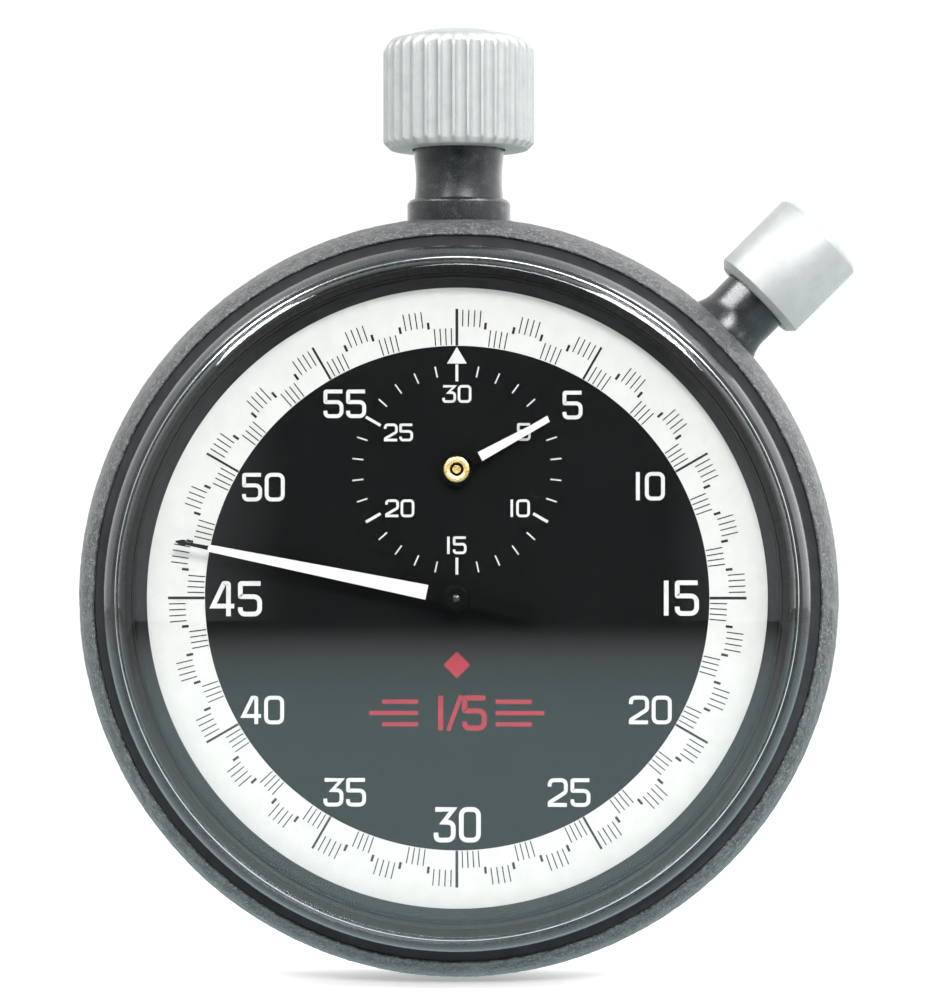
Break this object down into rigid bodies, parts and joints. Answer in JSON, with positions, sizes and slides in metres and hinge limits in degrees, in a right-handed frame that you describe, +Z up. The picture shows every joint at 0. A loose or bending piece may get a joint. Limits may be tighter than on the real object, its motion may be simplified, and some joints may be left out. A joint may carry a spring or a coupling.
{
  "type": "mechanical stopwatch",
  "caption": "Round hand-held mechanical stopwatch with a fluted winding and start crown, a side reset button, a sixty-second dial and a thirty-minute register.",
  "frame": {"origin": "centre of the back cover's flat outer face, on the axis of the seconds hand", "axes": "+Z up through the crown at 12 o'clock, +X to the right as the dial is read, the dial faces -Y and the back cover faces +Y"},
  "size_m": [0.0562, 0.0161, 0.0688],
  "materials": {
    "textured_case": "blasted, dark",
    "gloss_bezel": "polished",
    "clear_crystal": "clear acrylic",
    "satin_aluminium": "satin",
    "dark_steel": "dark, polished",
    "steel": "polished",
    "spring_steel": "blued",
    "brass": "polished",
    "plate_brass": "grained",
    "jewel": "ruby",
    "black_dial": "satin black",
    "black_flange": "satin",
    "hand_paint": "matt white",
    "gasket_rubber": "matt",
    "ring_plastic": "moulded"
  },
  "bodies": {
    "case": {"case_body": "textured_case", "back_cover": "textured_case", "bezel": "gloss_bezel", "crystal": "clear_crystal", "crystal_gasket": "gasket_rubber", "back_gasket": "gasket_rubber", "pendant_tube": "dark_steel", "reset_tube": "dark_steel", "movement_ring": "ring_plastic", "case_clamps": "steel", "dial": "black_dial", "dial_flange": "black_flange", "mainplate": "plate_brass", "barrel_bridge": "plate_brass", "train_bridge": "plate_brass", "balance_cock": "plate_brass", "pallet_cock": "plate_brass", "register_cock": "plate_brass", "jewel_bearings": "jewel", "movement_screws": "steel", "lever_screws": "steel", "crown_wheel_core": "steel", "lever_springs": "spring_steel", "crown_spring": "spring_steel", "reset_spring": "spring_steel"},
    "push_sleeve": {"push_sleeve": "steel"},
    "crown": {"crown": "satin_aluminium", "winding_stem": "steel"},
    "winding_pinion": {"winding_pinion": "steel"},
    "crown_wheel": {"crown_wheel": "steel"},
    "ratchet": {"ratchet_wheel": "steel", "barrel_arbor": "steel"},
    "click": {"click": "steel"},
    "barrel": {"barrel_drum": "brass", "barrel_lid": "brass", "mainspring": "spring_steel"},
    "intermediate_wheel": {"intermediate_wheel": "brass"},
    "third_wheel": {"third_wheel": "brass", "third_pinion": "steel"},
    "seconds_arbor": {"centre_arbor": "steel", "fourth_wheel": "brass", "seconds_heart": "steel", "seconds_hand": "hand_paint"},
    "escape_wheel": {"escape_wheel": "steel"},
    "pallet_fork": {"pallet_fork": "steel"},
    "balance": {"balance_wheel": "brass", "balance_staff": "steel", "hairspring": "spring_steel"},
    "regulator": {"regulator": "steel"},
    "register_idler": {"register_idler": "brass"},
    "minute_arbor": {"minute_wheel": "brass", "minute_heart": "steel", "minute_hand": "hand_paint", "minute_hand_hub": "brass"},
    "reset_button": {"reset_button": "satin_aluminium", "reset_stem": "steel"},
    "reset_hammer": {"reset_hammer": "steel"},
    "operating_lever": {"operating_lever": "steel"},
    "column_wheel": {"column_wheel": "steel"},
    "brake_lever": {"brake_lever": "steel"}
  },
  "joints": [
    {"name": "crown_push", "type": "slide", "parent": "case", "child": "push_sleeve", "axis": [0, 0, -1], "range_m": [0, 0.0014], "stiffness_N_per_m": 400, "springref_m": -0.0015, "deforming": ["crown_spring"]},
    {"name": "crown_turn", "type": "hinge", "parent": "push_sleeve", "child": "crown", "pos_m": [0, -0.005, 0.035], "axis": [0, 0, 1], "continuous": true},
    {"name": "winding_pinion_turn", "type": "hinge", "parent": "case", "child": "winding_pinion", "pos_m": [0, -0.005, 0.015], "axis": [0, 0, 1], "continuous": true},
    {"name": "crown_wheel_turn", "type": "hinge", "parent": "case", "child": "crown_wheel", "pos_m": [0, -0.005, 0.01129], "axis": [0, 1, 0], "continuous": true},
    {"name": "ratchet_turn", "type": "hinge", "parent": "case", "child": "ratchet", "pos_m": [-0.0093, -0.005, 0.0079], "axis": [0, 1, 0], "continuous": true},
    {"name": "click_lift", "type": "hinge", "parent": "case", "child": "click", "pos_m": [-0.0176, -0.005, 0.0046], "axis": [0, -1, 0], "range_deg": [0, 8], "stiffness_Nm_per_rad": 0.00002, "springref_deg": -5.73},
    {"name": "seconds_turn", "type": "hinge", "parent": "case", "child": "seconds_arbor", "pos_m": [0, -0.005, 0], "axis": [0, 1, 0], "continuous": true},
    {"name": "barrel_turn", "type": "hinge", "parent": "case", "child": "barrel", "pos_m": [-0.0093, -0.005, 0.0079], "axis": [0, 1, 0], "continuous": true},
    {"name": "intermediate_turn", "type": "hinge", "parent": "case", "child": "intermediate_wheel", "pos_m": [-0.00835, -0.005, 0.00054], "axis": [0, 1, 0], "continuous": true},
    {"name": "third_turn", "type": "hinge", "parent": "case", "child": "third_wheel", "pos_m": [-0.0036, -0.005, -0.0042], "axis": [0, 1, 0], "continuous": true},
    {"name": "escape_turn", "type": "hinge", "parent": "case", "child": "escape_wheel", "pos_m": [0.0046, -0.005, -0.0026], "axis": [0, 1, 0], "continuous": true},
    {"name": "register_idler_turn", "type": "hinge", "parent": "case", "child": "register_idler", "pos_m": [-0.00212, -0.005, 0.00431], "axis": [0, 1, 0], "continuous": true},
    {"name": "minutes_turn", "type": "hinge", "parent": "case", "child": "minute_arbor", "pos_m": [0, -0.005, 0.00911], "axis": [0, 1, 0], "continuous": true},
    {"name": "pallet_rock", "type": "hinge", "parent": "case", "child": "pallet_fork", "pos_m": [0.00651, -0.005, -0.00491], "axis": [0, 1, 0], "range_deg": [-3, 3]},
    {"name": "balance_swing", "type": "hinge", "parent": "case", "child": "balance", "pos_m": [0.00926, -0.005, -0.00822], "axis": [0, 1, 0], "range_deg": [-120, 120], "stiffness_Nm_per_rad": 0.000002},
    {"name": "regulator_set", "type": "hinge", "parent": "case", "child": "regulator", "pos_m": [0.00926, -0.005, -0.00822], "axis": [0, 1, 0], "range_deg": [-12, 12]},
    {"name": "reset_push", "type": "slide", "parent": "case", "child": "reset_button", "axis": [-0.7071, 0, -0.7071], "range_m": [0, 0.0014], "stiffness_N_per_m": 300, "springref_m": -0.0015, "deforming": ["reset_spring"]},
    {"name": "hammer_swing", "type": "hinge", "parent": "case", "child": "reset_hammer", "pos_m": [0.0075, -0.005, -0.0095], "axis": [0, -1, 0], "range_deg": [0, 6.5]},
    {"name": "operating_swing", "type": "hinge", "parent": "case", "child": "operating_lever", "pos_m": [0.0086, -0.005, 0.0176], "axis": [0, -1, 0], "range_deg": [0, 12.2]},
    {"name": "column_wheel_turn", "type": "hinge", "parent": "case", "child": "column_wheel", "pos_m": [0.0135, -0.005, 0.0076], "axis": [0, 1, 0], "continuous": true},
    {"name": "brake_swing", "type": "hinge", "parent": "case", "child": "brake_lever", "pos_m": [0.0176, -0.005, 0.0006], "axis": [0, -1, 0], "range_deg": [0, 5], "stiffness_Nm_per_rad": 0.00002, "springref_deg": -5.73}
  ],
  "couplings": [
    {"joint": "winding_pinion_turn", "follows": "crown_turn", "ratio": 1},
    {"joint": "crown_wheel_turn", "follows": "crown_turn", "ratio": -0.5},
    {"joint": "ratchet_turn", "follows": "crown_turn", "ratio": 0.36842},
    {"joint": "third_turn", "follows": "seconds_turn", "ratio": -0.13333},
    {"joint": "intermediate_turn", "follows": "seconds_turn", "ratio": 0.016667},
    {"joint": "barrel_turn", "follows": "seconds_turn", "ratio": -0.0020833},
    {"joint": "escape_turn", "follows": "seconds_turn", "ratio": -10},
    {"joint": "register_idler_turn", "follows": "seconds_turn", "ratio": -0.2},
    {"joint": "minutes_turn", "follows": "seconds_turn", "ratio": 0.033333},
    {"joint": "hammer_swing", "follows": "reset_push", "rad_per_m": 79.3},
    {"joint": "operating_swing", "follows": "crown_push", "rad_per_m": 150.4}
  ]
}
